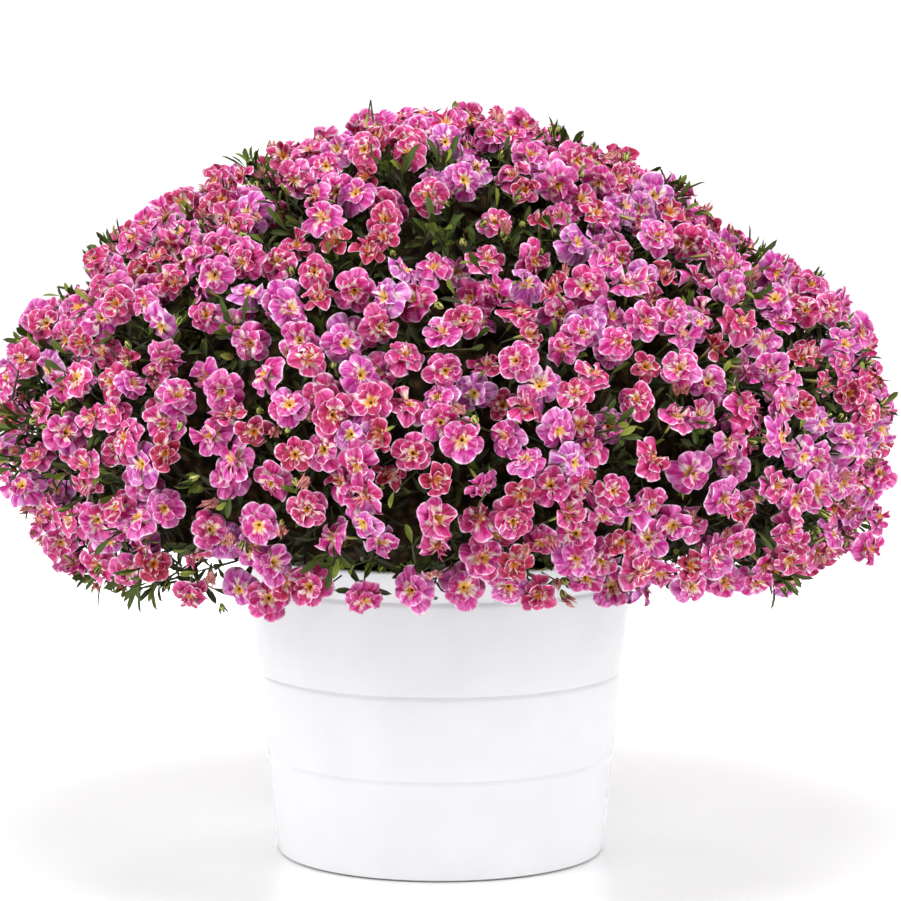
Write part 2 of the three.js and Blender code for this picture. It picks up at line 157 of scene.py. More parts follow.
# A direction well away from the given one.
def awayFrom(axis):
    return [0.0, 0.0, 1.0] if abs(axis[2]) < 0.9 else [1.0, 0.0, 0.0]


# Adds a tube along a path of several points, with a radius at each.
def addTube(heap, path, radii, sides, tone, grain, stuff):
    path = np.array(path)
    along = unit(np.gradient(path, axis=0))
    side = unit(np.cross(along, awayFrom(along[0])))
    other = np.cross(along, side)
    turn = np.linspace(0, 2 * np.pi, sides + 1)[:, None]
    ring = side[:, None] * np.cos(turn) + other[:, None] * np.sin(turn)
    points = path[:, None] + np.array(radii)[:, None, None] * ring
    addSheets(heap, points.reshape(1, -1, 3), grid(sides, len(path) - 1), tone, grain, stuff)


# Rings of points round the z axis, from a profile of (radius, height).
def ringPoints(profile, turns):
    angles = [2 * math.pi * t / turns for t in range(turns)]
    return [(radius * math.cos(a), radius * math.sin(a), height)
            for radius, height in profile for a in angles]


def ringFaces(rings, turns, flip=False):
    faces = []
    for r in range(rings - 1):
        for t in range(turns):
            here, after = r * turns + t, r * turns + (t + 1) % turns
            face = (here, after, after + turns, here + turns)
            faces.append((here, here + turns, after + turns, after) if flip else face)
    return faces


moundCentre = np.array([0.0, 0.0, 0.300])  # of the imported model's mound


# Flowers and leaf tips of one packed stem, by how its facets meet: a flower's throat touches five
# lobe tips and the five notches between them, and each tip touches just three points.
def readStem(node):
    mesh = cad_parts[node].data
    spots = np.array([vertex.co for vertex in mesh.vertices])
    corners = np.array([loop.vertex_index for loop in mesh.loops])
    _, first, same = np.unique(spots.round(5), axis=0, return_index=True, return_inverse=True)
    points = spots[first]
    touching = [set() for _ in points]
    for a, b, c in same.ravel()[corners].reshape(-1, 3).tolist():
        touching[a] |= {b, c}
        touching[b] |= {a, c}
        touching[c] |= {a, b}
    ends = {i for i, around in enumerate(touching) if len(around) == 3}
    flowers, leafTips, used = [], [], set()
    for i, around in enumerate(touching):
        tips = sorted(around & ends)
        if len(around) == 10 and len(tips) == 5:
            used |= set(tips)
            ring = points[tips]
            axis = np.linalg.svd(ring - ring.mean(0))[2][2]
            axis *= np.sign(axis @ (points[i] - moundCentre))
            flowers.append({"throat": points[i], "axis": axis, "notches": points[sorted(around - ends)]})
    for i in sorted(ends - used):
        root = max(touching[i], key=lambda k: np.linalg.norm(points[k] - points[i]))
        leafTips.append({"root": points[root], "tip": points[i]})
    low = points[points[:, 2] < points[:, 2].min() + 0.004]
    return {"node": node, "flowers": flowers, "leaves": leafTips, "foot": low.mean(0)}


stems = [readStem(node) for node in sorted(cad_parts) if node.startswith("leafy_stem")]
cadFlowers = [dict(flower, stem=i) for i, stem in enumerate(stems) for flower in stem["flowers"]]
cadLeaves = [dict(leaf, stem=i) for i, stem in enumerate(stems) for leaf in stem["leaves"]]
print("packed flowers:", len(cadFlowers), "leaves:", len(cadLeaves))


def treeOf(points):
    tree = kdtree.KDTree(len(points))
    for i, point in enumerate(points):
        tree.insert(point, i)
    tree.balance()
    return tree


# The leafy surface that the flowers stand on, known at every notch between lobes.
notches = np.concatenate([f["notches"] for f in cadFlowers] + [[leaf["root"]] for leaf in cadLeaves])
notchReach = np.linalg.norm(notches - moundCentre, axis=1)
notchTree = treeOf(unit(notches - moundCentre))
throats = np.array([f["throat"] for f in cadFlowers])
throatAxes = np.array([f["axis"] for f in cadFlowers])
throatTree = treeOf(unit(throats - moundCentre))


# That surface in a direction from the mound's centre: its point, its normal and the nearest packed
# flower. The nearest few notches and throats count, the more the nearer they are.
def surfaceAt(towards):
    towards = towards / np.linalg.norm(towards)
    found = notchTree.find_n(towards, 5)
    weights = np.array([1 / (gap * gap + 1e-4) for _, _, gap in found])
    reach = (weights * notchReach[[i for _, i, _ in found]]).sum() / weights.sum()
    closest = throatTree.find_n(towards, 4)
    weights = np.array([1 / (gap + 0.02) for _, _, gap in closest])
    normal = (weights[:, None] * throatAxes[[i for _, i, _ in closest]]).sum(0)
    return moundCentre + reach * towards, normal / np.linalg.norm(normal), closest[0][1]


# How far down the mound reaches, as a polar angle from its centre, for any azimuth.
def hemPolar(azimuth):
    towards = throats - moundCentre
    polar = np.arctan2(np.hypot(towards[:, 0], towards[:, 1]), towards[:, 2])
    beside = np.cos(np.arctan2(towards[:, 1], towards[:, 0]) - azimuth) > math.cos(0.16)
    return polar[beside].max()


hemAzimuths = np.linspace(-np.pi, np.pi, 49)
hemPolars = np.array([hemPolar(a) for a in hemAzimuths])
hemPolars = (hemPolars + (np.roll(hemPolars, 1) + np.roll(hemPolars, -1)) / 2) / 2


# The angle that a point lies below that hem.
def belowHem(point):
    x, y, z = point - moundCentre
    return math.atan2(math.hypot(x, y), z) - np.interp(math.atan2(y, x), hemAzimuths, hemPolars)


# A value that swings about zero in soft patches: seven waves with random directions.
def patchy(point, scale, seed):
    rng = np.random.default_rng(seed)
    waves = rng.normal(size=(7, 3)) * scale
    phases = rng.uniform(0, 6.3, 7)
    return np.sin(waves @ point + phases).sum() / 7 ** 0.5


def tilted(rng, normal, degrees):
    turned = normal + rng.normal(size=3) * math.tan(math.radians(degrees))
    return turned / np.linalg.norm(turned)


# Points already placed are kept in cubes, and only the cubes round a spot are searched.
def keepPoint(cells, point, value):
    key = tuple((point // cells["size"]).astype(int))
    cells.setdefault(key, []).append((point, value))


def near(cells, point, reach):
    x, y, z = (point // cells["size"]).astype(int)
    around = [q for i in (-1, 0, 1) for j in (-1, 0, 1) for k in (-1, 0, 1)
              for q in cells.get((x + i, y + j, z + k), ())]
    if not around:
        return []
    gaps = np.linalg.norm(np.array([q for q, _ in around]) - point, axis=1)
    return [(gap, value) for gap, (_, value) in zip(gaps, around) if gap < reach]


# A random spot on the leafy surface, some way from a packed flower.
def randomSpot(rng, least, most):
    start = cadFlowers[rng.integers(len(cadFlowers))]
    step = np.cross(start["axis"], rng.normal(size=3))
    step *= rng.uniform(least, most) / np.linalg.norm(step)
    point, normal, owner = surfaceAt(start["throat"] + step - moundCentre)
    return point, normal, cadFlowers[owner]["stem"]


flowerPlaces = {
    "seed": 11, "tries": 60000,  # enough to fill every gap that is wide enough
    "spacing": 0.0160,  # between flower centres in a full cluster
    "gapSpacing": 0.0290,  # and where the leaves show
    "crownSparse": 0.24, "sideSparse": 0.52,  # wider still, by these shares, on top and at the sides
    "fromPacked": (0.012, 0.029),
    "packedSink": 0.0035, "packedShift": 0.0015,  # where a packed flower is, and how far it may move
    "height": (-0.012, 0.004), "lift": 0.010,  # over the leafy surface, and more in a cluster
    "overlap": 0.024, "apart": 0.006,  # flowers this near stand this far apart in height
    "deepCount": 90, "deepHeight": (-0.024, -0.014), "deepSide": 0.8,
    "hem": 0.01, "deepHem": -0.1,  # how far below the mound's hem they may be, as an angle
    "tilt": 24,  # degrees, how far a flower turns at random
    "outwards": 0.75, "leanFrom": (0.0, 0.10),
    "towardsLight": 0.85,  # how far the flowers at the sides turn to the front
    "faceUp": 0.4,  # the share that is left of a downward look
    "parting": (-0.088, -0.020), "partingFront": -0.15, "partingTop": 0.248,
    "trailing": [(0.290, -0.058, 0.219), (0.298, -0.030, 0.236)],  # they hang out at the right
    "shareOpen": 0.68, "shareYoung": 0.13,
}


# How far the leaves show between the flowers, from 0 in a full cluster to 1 in a gap.
def openness(point):
    return np.clip(0.25 + 0.65 * patchy(point, 42, 3), 0, 1)


# Low at the front the mound parts over the rim.
def inParting(point):
    s = flowerPlaces
    left, right = s["parting"]
    return left < point[0] < right and point[1] < s["partingFront"] and point[2] < s["partingTop"]


# Neighbours stand at different heights, so that their lobes pass over each other.
def chooseHeight(rng, cells, point):
    s = flowerPlaces
    others = np.array([height for _, height in near(cells, point, s["overlap"])] or [1.0])
    low, high = s["height"]
    tries = low + (high - low) * np.sqrt(rng.uniform(0, 1, 6))
    best = max(tries, key=lambda height: min(np.abs(others - height).min(), s["apart"]))
    return best + s["lift"] * (0.4 - openness(point))


def placeFlowers():
    s = flowerPlaces
    rng = np.random.default_rng(s["seed"])
    cells = {"size": s["gapSpacing"]}
    places = []

    def take(point, normal, stem, height=None):
        # flowers on the crown lean outwards, and those at the sides turn to the front
        lean = point[:2] - s["leanFrom"]
        outwards = np.append(lean / (0.05 + math.hypot(*lean)), 0.0)
        axis = normal + s["outwards"] * max(normal[2], 0.0) * outwards
        sideways = np.interp(normal[1], [-1.0, 0.0, 0.5], [0.0, 1.0, 0.0])
        axis[1] -= s["towardsLight"] * sideways
        axis[2] = max(axis[2], s["faceUp"] * axis[2])
        axis /= np.linalg.norm(axis)
        if height is None:
            height = chooseHeight(rng, cells, point)
        keepPoint(cells, point, height)
        pick = rng.uniform()
        kind = "open" if pick < s["shareOpen"] else "old"
        if pick > 1 - s["shareYoung"]:
            kind = "young"
        places.append({"at": point + normal * height, "axis": tilted(rng, axis, s["tilt"]),
                       "stem": stem, "kind": kind,
                       "radius": rng.uniform(*flowerForms[kind]["radius"])})

    for f in cadFlowers:
        shift = np.cross(f["axis"], rng.normal(size=3)) * s["packedShift"]
        take(f["throat"] - f["axis"] * s["packedSink"] + shift, f["axis"], f["stem"])
    for _ in range(s["tries"]):
        point, normal, stem = randomSpot(rng, *s["fromPacked"])
        spacing = s["spacing"] + (s["gapSpacing"] - s["spacing"]) * openness(point)
        spacing *= 1 + s["crownSparse"] * max(normal[2], 0.0) ** 2
        spacing *= 1 + s["sideSparse"] * normal[0] ** 4
        if belowHem(point) < s["hem"] and not inParting(point) and not near(cells, point, spacing):
            take(point, normal, stem)
    for spot in s["trailing"]:
        point = np.array(spot)
        _, normal, owner = surfaceAt(point - moundCentre)
        take(point, normal, cadFlowers[owner]["stem"], 0.0)
    deep = 0
    while deep < s["deepCount"]:
        point, normal, stem = randomSpot(rng, *s["fromPacked"])
        inside = belowHem(point) < s["deepHem"] and abs(normal[0]) < s["deepSide"]
        if inside and not near(cells, point, s["spacing"]):
            take(point, normal, stem, rng.uniform(*s["deepHeight"]))
            deep += 1
    return places


# A whorl of lobes. Lengths and levels are shares of the flower's radius, base and half are half a
# lobe's width in degrees at its foot and its end. rise and droop bend a lobe along its length,
# sides lifts its edges, ruffle waves them, notch and round cut the outline between the lobes. In
# stray is how far a whorl's lobes differ, times its mess.
plainWhorl = {"lobes": 5, "length": 1.0, "lie": 1.0, "base": 36, "half": 42, "notch": 0.31,
              "round": 3.0, "rise": 0.42, "droop": 0.56, "sides": -0.14, "ruffle": 0.11,
              "waves": 4.6, "waveSize": (0.4, 1.3), "twist": 0.05, "keel": 0.10,
              "level": 0.0, "tone": 0.0, "mess": 1.0}
stray = {"turn": 0.10, "length": 0.09, "notch": 0.20, "lie": 0.06, "half": 0.08, "rise": 0.22,
         "droop": 0.35, "sides": 0.16, "twist": 0.10, "keel": 0.14, "askew": 0.09, "tone": 0.06}
flowerForms = {
    "open": {"radius": (0.0122, 0.0149), "tone": (0.30, 0.72), "whorls": [
        plainWhorl,
        dict(plainWhorl, length=0.79, lie=0.92, half=47, notch=0.30, round=2.6, rise=0.86, droop=0.72,
             sides=0.06, ruffle=0.17, level=0.05, tone=-0.06, mess=1.6),
        dict(plainWhorl, lobes=3, length=0.50, lie=0.74, base=40, half=60, notch=0.26, round=2.0,
             rise=1.15, droop=0.90, sides=0.20, ruffle=0.24, level=0.07, tone=-0.10, mess=1.8)]},
    "young": {"radius": (0.0108, 0.0136), "tone": (0.06, 0.30), "whorls": [
        dict(plainWhorl, lie=0.95, half=40, notch=0.37, round=2.1, rise=0.60, sides=0.16, mess=1.1),
        dict(plainWhorl, length=0.72, lie=0.80, notch=0.40, round=1.8, rise=1.0, droop=0.64,
             sides=0.24, ruffle=0.20, level=0.04, tone=-0.05, mess=1.6)]},
    "old": {"radius": (0.0130, 0.0153), "tone": (0.62, 1.0), "whorls": [
        dict(plainWhorl, half=44, notch=0.28, round=3.1, rise=0.34, droop=0.58, sides=-0.16, mess=1.1),
        dict(plainWhorl, length=0.68, lie=0.92, half=46, notch=0.28, round=2.6, rise=0.74, droop=0.66,
             sides=0.08, ruffle=0.16, level=0.05, tone=-0.10, mess=1.6)]},
}
tubeForm = {
    "radius": 0.0011, "flare": 1.25, "narrowing": 0.85, "mouth": 0.0006, "throatDepth": 0.0030,
    "heights": (-0.0125, -0.005, 0.0), "radii": (0.0009, 0.0013, 0.0024),
    # inside: the throat's yellow to amber-brown, darkest at the bottom as painted shade in the deep hole
    "inside": [(0.0, "dcab40"), (0.5, "a87a24"), (1.0, "5a3a10")],
    "outside": [(0.0, "6f8a3a"), (0.5, "b9a45a"), (1.0, "c9a0b8")],
}
flowers = placeFlowers()
print("flowers:", len(flowers))
lobeGrids = [grid(8, 4), grid(6, 3), grid(4, 3)]
throatGrid = grid(6, 1)


# The lobes of one whorl, in the flower's own axes, with z along its axis. No two are quite alike.
def whorl(rng, form, shape, turn, radius):
    u, v, _ = shape
    lobes, mess = form["lobes"], form["mess"]

    def spread():
        return rng.uniform(-1, 1, (lobes, 1))

    def vary(what):
        return 1 + mess * stray[what] * spread()

    turns = turn + 2 * np.pi / lobes * np.arange(lobes)[:, None] + stray["turn"] * mess * spread()
    length = radius * form["length"] * vary("length")
    outline = 1 - form["notch"] * vary("notch") * np.abs(u) ** form["round"]
    flat = tubeForm["radius"] + v * (length * outline * form["lie"] * vary("lie") - tubeForm["radius"])
    base, half = math.radians(form["base"]), math.radians(form["half"])
    angle = turns + u * (base * (1 - v) + half * v * vary("half"))
    wave = np.sin(form["waves"] * u + rng.uniform(0, 6.3, (lobes, 1)))
    wave = wave * rng.uniform(*form["waveSize"], (lobes, 1))
    rise = form["rise"] * vary("rise") * v - form["droop"] * vary("droop") * v ** 2
    sides = form["sides"] + stray["sides"] * mess * spread()
    twist = form["twist"] + stray["twist"] * mess * spread()
    keel = form["keel"] + stray["keel"] * spread()
    rise = rise + sides * (u * v) ** 2 + twist * u * v + keel * np.abs(u) * v
    rise = rise + form["ruffle"] * wave * v ** 2
    x, y = flat * np.cos(angle), flat * np.sin(angle)
    askew = rng.normal(0, stray["askew"] * mess, 2)
    height = length * rise + form["level"] * radius + askew[0] * x + askew[1] * y
    return np.stack([x, y, height], -1)


def axesOf(axis, turn):
    x = np.cross(awayFrom(axis), axis)
    x /= np.linalg.norm(x)
    y = np.cross(axis, x)
    c, s = math.cos(turn), math.sin(turn)
    return np.stack([c * x + s * y, c * y - s * x, axis])


# Points round the axis of a flower or bud, at u half turns.
def ringAt(u, radius, height):
    return np.stack([radius * np.cos(-u * np.pi), radius * np.sin(-u * np.pi), height], -1)[None]


# Adds a flower with its throat and its tube, and gives back the tube's foot.
def addFlower(heap, rng, place):
    form = flowerForms[place["kind"]]
    tone = rng.uniform(*form["tone"])
    axes = axesOf(place["axis"], rng.uniform(0, 2 * np.pi))
    squeeze = np.array([rng.uniform(0.9, 1.06), rng.uniform(0.9, 1.06), 1.0])
    turn = 0.0
    for each, shape in zip(form["whorls"], lobeGrids):
        points = whorl(rng, each, shape, turn, place["radius"]) * squeeze
        grain = rng.uniform(0, 1, each["lobes"])
        tones = np.clip(tone + each["tone"] + rng.normal(0, stray["tone"], each["lobes"]), 0, 1)
        addSheets(heap, place["at"] + points @ axes, shape, tones, grain, isPetal)
        turn += math.pi / 5 + rng.uniform(-0.25, 0.25)
    s = tubeForm
    u, v, _ = throatGrid
    flare = s["radius"] * s["flare"] * (1 - s["narrowing"] * v)
    cone = ringAt(u, flare, s["mouth"] - s["throatDepth"] * v)
    addSheets(heap, place["at"] + cone @ axes, throatGrid, tone, 0.5, isThroat)
    path = np.array([[0, 0, height] for height in s["heights"]]) @ axes + place["at"]
    addTube(heap, path, s["radii"], 5, tone, rng.uniform(), isTube)
    return path[0]


# What the patterns of petals and leaves start from: the places along the sheet and out from its
# rib, the sheet's tone and grain, and a point in the noise that is far from other sheets' points.
def sheetPattern(add, far):
    parts = add("SeparateXYZ", [add("UVMap", uv_map="blade")])
    side, along = parts.outputs[0], parts.outputs[1]
    tone = add("Attribute", attribute_name="tone").outputs["Fac"]
    grain = add("Attribute", attribute_name="grain").outputs["Fac"]
    signed = add("Math", [side, 2.0, -1.0], **plus)
    across = add("Math", [signed], operation="ABSOLUTE")
    shift = add("Math", [grain, far], operation="MULTIPLY")
    return along, across, tone, grain, add("CombineXYZ", [side, along, shift])


waxy = {"Roughness": 0.52, "IOR": 1.4, "Specular IOR Level": 0.35}  # skin of petals and leaves


def petalMaterial():
    # Petal: thin, softly waxy skin. It shows as a satin face with a pale rim, pale seams between
    # the lobes, a yellow throat and a dark vein along each lobe.
    material, add, shader = newMaterial("petal")
    along, across, tone, grain, place = sheetPattern(add, 37.0)
    # Streaks run along the lobe, about 1.5 mm apart.
    stretched = add("VectorMath", [place, (6.0, 1.9, 1.0)], operation="MULTIPLY")
    streak = add("TexNoise", {"Vector": stretched, "Scale": 1.0, "Detail": 2.0, "Roughness": 0.6})
    shifted = add("Math", [streak, 0.5], operation="SUBTRACT")
    roughAcross = add("Math", [shifted, 0.62, across], **plus)
    roughAlong = add("Math", [shifted, 0.20, along], **plus)
    # The pale seam: most of the lobe wide at the throat, and narrow or gone at the rim.
    seamFrom = add("MapRange", [along, 0.18, 0.84, -0.46, 0.62])
    seamFrom = add("Math", [grain, 0.58, seamFrom], **plus)
    overSeam = add("Math", [roughAcross, seamFrom], operation="SUBTRACT")
    seam = add("MapRange", [overSeam, 0.0, 0.42, 0.0, 0.90], **eased)
    # Blotches a third of a lobe wide break up the rim and shift the hue of the rest.
    blotchAt = add("VectorMath", [place, (2.6, 2.2, 1.0)], operation="MULTIPLY")
    blotch = add("TexNoise", {"Vector": blotchAt, "Scale": 1.0, "Detail": 2.0})
    rimStrength = add("MapRange", [blotch, 0.38, 0.58, 0.22, 1.0])
    rim = add("MapRange", [roughAlong, 0.89, 0.99, 0.0, rimStrength], **eased)
    edge = add("Math", [seam, rim], operation="MAXIMUM")
    worn = add("MapRange", [streak, 0.30, 0.55, 0.30, 1.0])
    pale = add("Math", [edge, worn], operation="MULTIPLY")
    hue = add("Math", [blotch, 0.50, tone], **plus)
    hue = add("Math", [hue, 0.25], operation="SUBTRACT")
    body = add("ValToRGB", [hue], [(0.0, "8e041c"), (0.20, "9c0238"), (0.40, "ae0056"),
                                   (0.60, "b90677"), (0.80, "b01c8a"), (1.0, "a22e90")])
    soft = add("ValToRGB", [hue], [(0.0, "c43a5c"), (0.3, "d45492"), (0.6, "de7abe"), (1.0, "da9cd2")])
    outwards = add("MapRange", [roughAlong, 0.38, 1.0, 0.0, 0.64], **eased)
    washed = add("Math", [shifted, 2.6, outwards], **plus, use_clamp=True)
    faded = add("Mix", {0: washed, 6: body, 7: soft}, data_type="RGBA").outputs[2]
    vein = add("MapRange", [across, 0.0, 0.12, 0.55, 0.0], **eased)
    veined = add("Mix", {0: vein, 6: faded, 7: linear("8c0a4c")}, data_type="RGBA").outputs[2]
    cream = add("ValToRGB", [along], [(0.15, "f0cf84"), (0.45, "f2e0d2"), (0.9, "f4dcec")])
    marked = add("Mix", {0: pale, 6: veined, 7: cream}, data_type="RGBA").outputs[2]
    throat = add("MapRange", [roughAlong, 0.10, 0.39, 0.95, 0.0], **eased)
    glow = add("ValToRGB", [tone], [(0.0, "e87a2c"), (0.4, "eeae3c"), (1.0, "e6bd5c")])
    colour = add("Mix", {0: throat, 6: marked, 7: glow}, data_type="RGBA").outputs[2]
    bump = add("Bump", {"Height": streak, "Strength": 0.4, "Distance": 0.0010})
    setInputs(shader, {"Base Color": colour, "Normal": bump, **waxy})
    return material


def tubeMaterial(name, stops):
    # Flower tube: velvety inside, from yellow to amber-brown, darkest at the bottom of the hole as painted
    # shade; outside matt and hairy, green at its foot and pale mauve at its mouth.
    material, add, shader = newMaterial(name)
    parts = add("SeparateXYZ", [add("UVMap", uv_map="blade")])
    colour = add("ValToRGB", [parts.outputs[1]], stops)
    setInputs(shader, {"Base Color": colour, "Roughness": 0.7})
    return material


leafForm = {
    "seed": 23,
    "shootSpacing": 0.0185, "shootTries": 22000, "fromPacked": (0.004, 0.032),
    "hem": 0.015, "standingHem": -0.12, "partingBare": 0.85,
    "shootHeight": (-0.012, -0.001), "crownDrop": 0.007,  # and lower on top
    "standing": 0.45, "standingHeight": (0.0, 0.011),  # the share of shoots that stand up, and how far
    "underFlower": 0.006, "tilt": 24, "lowest": -0.35,  # of a shoot's axis
    "perShoot": 6, "tall": 0.022, "stalk": 0.010, "stalkRadii": (0.0008, 0.0007, 0.0004),
    "tuftShoot": 5, "tuftRise": 0.004, "tuftTilt": 14, "trailingTall": 0.030,
    "length": (0.0125, 0.0190), "width": (0.0036, 0.0049),
    "lean": (22, 78), "arch": 0.22, "fold": 0.28,
    # the inner leaves' low tones give the dark brown end of the leaf colours, as painted shade
    "inner": 5600, "innerDepth": (0.012, 0.034), "innerFromPacked": (0.0, 0.03), "innerShadeTone": (0.0, 0.30),
    "rimShoots": 110, "rimReach": (0.139, 0.150), "rimHeight": (0.219, 0.237), "rimRise": (-0.10, 0.40),
    "partingShoots": 24, "partingReach": (0.1450, 0.1530), "partingHeight": (0.217, 0.229),
    "partingRise": (-0.7, -0.1), "partingTurn": (-2.14, -1.50),
    "rows": np.array([0.0, 0.25, 0.55, 0.83, 1.0]),  # along a leaf, and its width there
    "widths": np.array([0.18, 0.58, 1.0, 0.80, 0.06]),
}
leafGrid = grid(2, 4)


# Narrow blades, widest past the middle, folded along the rib and arched back.
def leaves(roots, along, up, lengths, widths, arch):
    u, v, _ = leafGrid
    row = np.rint(v * 4).astype(int)
    share, wide = leafForm["rows"][row], leafForm["widths"][row]
    side = unit(np.cross(along, up))
    up = np.cross(side, along)
    out = lengths[:, None] * share
    half = widths[:, None] / 2 * wide * u
    lift = leafForm["fold"] * np.abs(half) * 2 - arch[:, None] * lengths[:, None] * share ** 2
    return (roots[:, None] + out[..., None] * along[:, None] + half[..., None] * side[:, None]
            + lift[..., None] * up[:, None])


flowerCells = {"size": 0.036}
for flower in flowers:
    keepPoint(flowerCells, flower["at"], flower)


# How far a point lies over the back of a flower's lobes, or 0 where it is clear of them all.
def aboveFlower(point, margin=0.0025):
    for _, flower in near(flowerCells, point, 0.020):
        over = (point - flower["at"]) @ flower["axis"]
        aside = np.linalg.norm(point - flower["at"] - over * flower["axis"])
        if over > -margin and aside < flower["radius"]:
            return over + margin
    return 0


potForm = {
    "turns": 160, "base": 0.113, "rim": 0.140, "height": 0.214, "chamfer": 0.0025,
    "shoulders": [(0.0695, 0.1206), (0.128, 0.1276), (0.1925, 0.1358)],  # height, radius
    "drop": 0.0035, "rounded": 0.0034, "bend": 0.0185,  # of a shoulder
    "lip": 0.0022, "innerRim": 0.1315, "innerBase": 0.107, "floor": 0.008,
}


def inPot(point):
    wide = math.hypot(point[0], point[1])
    return point[2] < potForm["height"] + 0.001 and wide < potForm["rim"] + 0.002


# Adds the leaves whose middles are clear of the flowers and of the pot.
def addLeaves(heap, rng, roots, along, up, lengths, tone):
    n = len(roots)
    widths = rng.uniform(*leafForm["width"], n)
    arch = leafForm["arch"] * rng.uniform(-0.2, 1.3, n)
    points = leaves(roots, along, up, lengths, widths, arch)
    middles = points.reshape(n, 5, 3, 3)[:, 1:, 1]
    clear = [not any(aboveFlower(point) or inPot(point) for point in middle) for middle in middles]
    points, tone = points[clear], np.broadcast_to(tone, n)[clear]
    if len(points):
        addSheets(heap, points, leafGrid, tone, rng.uniform(0, 1, len(points)), isLeaf)


# A shoot: a thin stem along its axis with leaves in a spiral, the youngest and palest at the tip.
def addShoot(heap, rng, tip, axis, count=leafForm["perShoot"], tall=leafForm["tall"]):
    place = np.linspace(0, 1, count)
    turn = rng.uniform(0, 6.3) + 2.4 * np.arange(count)
    x, y, _ = axesOf(axis, 0.0)
    out = x * np.cos(turn)[:, None] + y * np.sin(turn)[:, None]
    low, high = leafForm["lean"]
    lean = np.radians(high + (low - high) * place + rng.uniform(-9, 9, count))[:, None]
    along = unit(axis * np.cos(lean) + out * np.sin(lean))
    roots = tip - axis * (tall * (1 - place))[:, None]
    lengths = rng.uniform(*leafForm["length"], count) * (1.06 - 0.35 * place)
    tone = np.clip(0.25 + 0.45 * place ** 2 + rng.normal(0, 0.12, count), 0, 1)
    addLeaves(heap, rng, roots, along, np.broadcast_to(axis, along.shape), lengths, tone)
    path = [tip - axis * (tall + leafForm["stalk"]), tip - axis * tall / 2, tip]
    addTube(heap, path, leafForm["stalkRadii"], 4, 0.5, rng.uniform(), isStem)


def leafMaterial():
    # Leaf: a thin matt blade with a waxy skin. It is dark green, paler along the rib and at young tips, with
    # a soft shine on the folds. It is brown to nearly black as painted shade on the leaves deep inside. The
    # mottling is in spots of about a fifth of the blade.
    material, add, shader = newMaterial("leafBlade")
    _, across, tone, _, place = sheetPattern(add, 29.0)
    mottle = add("TexNoise", {"Vector": place, "Scale": 5.0, "Detail": 3.0})
    mixed = add("Math", [mottle, 0.30, tone], **plus)
    # The dark brown end of these stops is painted shade; the leaves deep inside get it most.
    green = add("ValToRGB", [mixed], [(0.1, "20170a"), (0.42, "2a300c"), (0.78, "47591a"),
                                      (1.0, "8c963a")])
    rib = add("MapRange", [across, 0.03, 0.16, 0.45, 0.0], **eased)
    colour = add("Mix", {0: rib, 6: green, 7: linear("5f6a26")}, data_type="RGBA").outputs[2]
    bump = add("Bump", {"Height": mottle, "Strength": 0.3, "Distance": 0.0005})
    setInputs(shader, {"Base Color": colour, "Normal": bump, **waxy})
    return material


def stemMaterial():
    # Stem: soft green bark that goes brown with age, matt under its fine hairs. It changes every
    # 6 mm or so.
    material, add, shader = newMaterial("greenStem")
    grain = add("Attribute", attribute_name="grain").outputs["Fac"]
    place = add("TexCoord").outputs["Object"]
    noise = add("TexNoise", {"Vector": place, "Scale": 160.0})
    mixed = add("Math", [noise, 0.4, grain], **plus)
    colour = add("ValToRGB", [mixed], [(0.1, "242c12"), (0.6, "38441b"), (1.0, "4e4a24")])
    setInputs(shader, {"Base Color": colour, "Roughness": 0.65})
    return material


def budMaterial():
    # Bud: crinkled yellow-green knob with five paler ridges.
    material, add, shader = newMaterial("bud")
    parts = add("SeparateXYZ", [add("UVMap", uv_map="blade")])
    wave = add("Math", [parts, 31.4], operation="MULTIPLY")
    ridge = add("Math", [wave], operation="SINE")
    share = add("MapRange", [ridge, -1.0, 1.0])
    colour = add("ValToRGB", [share], [(0.0, "6f7c28"), (1.0, "d2cf78")])
    setInputs(shader, {"Base Color": colour, "Roughness": 0.6})
    return material


def witheredMaterial():
    # Withered flower: dry crumpled tissue, tan with pink and dull red folds.
    material, add, shader = newMaterial("witheredPetal")
    blade = add("UVMap", uv_map="blade")
    grain = add("Attribute", attribute_name="grain").outputs["Fac"]
    noise = add("TexNoise", {"Vector": blade, "W": grain, "Scale": 5.0}, noise_dimensions="4D")
    colour = add("ValToRGB", [noise], [(0.3, "96484c"), (0.5, "cc7a80"), (0.70, "ecd0a8")])
    setInputs(shader, {"Base Color": colour, "Roughness": 0.75})
    return material


extras = {
    "seed": 31, "buds": 420, "withered": 300,  # tries; those in a flower are left out
    "fromPacked": (0.012, 0.022), "height": (-0.004, 0.009), "tilt": 25, "clear": 0.004,
    "witheredRadius": (0.0050, 0.0076), "budRadius": 0.0021, "budLength": 0.007,
    "budProfile": [0.25, 0.75, 1.0, 0.85, 0.12],
    "sepalRadius": (0.0048, 0.0070), "sepalDrop": 0.0030,
}
budGrid = grid(8, 4)
sepalGrid = grid(2, 3)
sepalForm = dict(plainWhorl, lie=0.55, base=30, half=12, notch=0.1, round=2.0, rise=0.9, droop=0.1,
                 sides=0.3, ruffle=0.1, mess=1.5)
witheredForm = dict(plainWhorl, lobes=6, lie=0.55, base=30, half=24, notch=0.55, round=1.4, rise=1.1,
                    droop=0.5, sides=0.35, ruffle=0.45, mess=1.5)


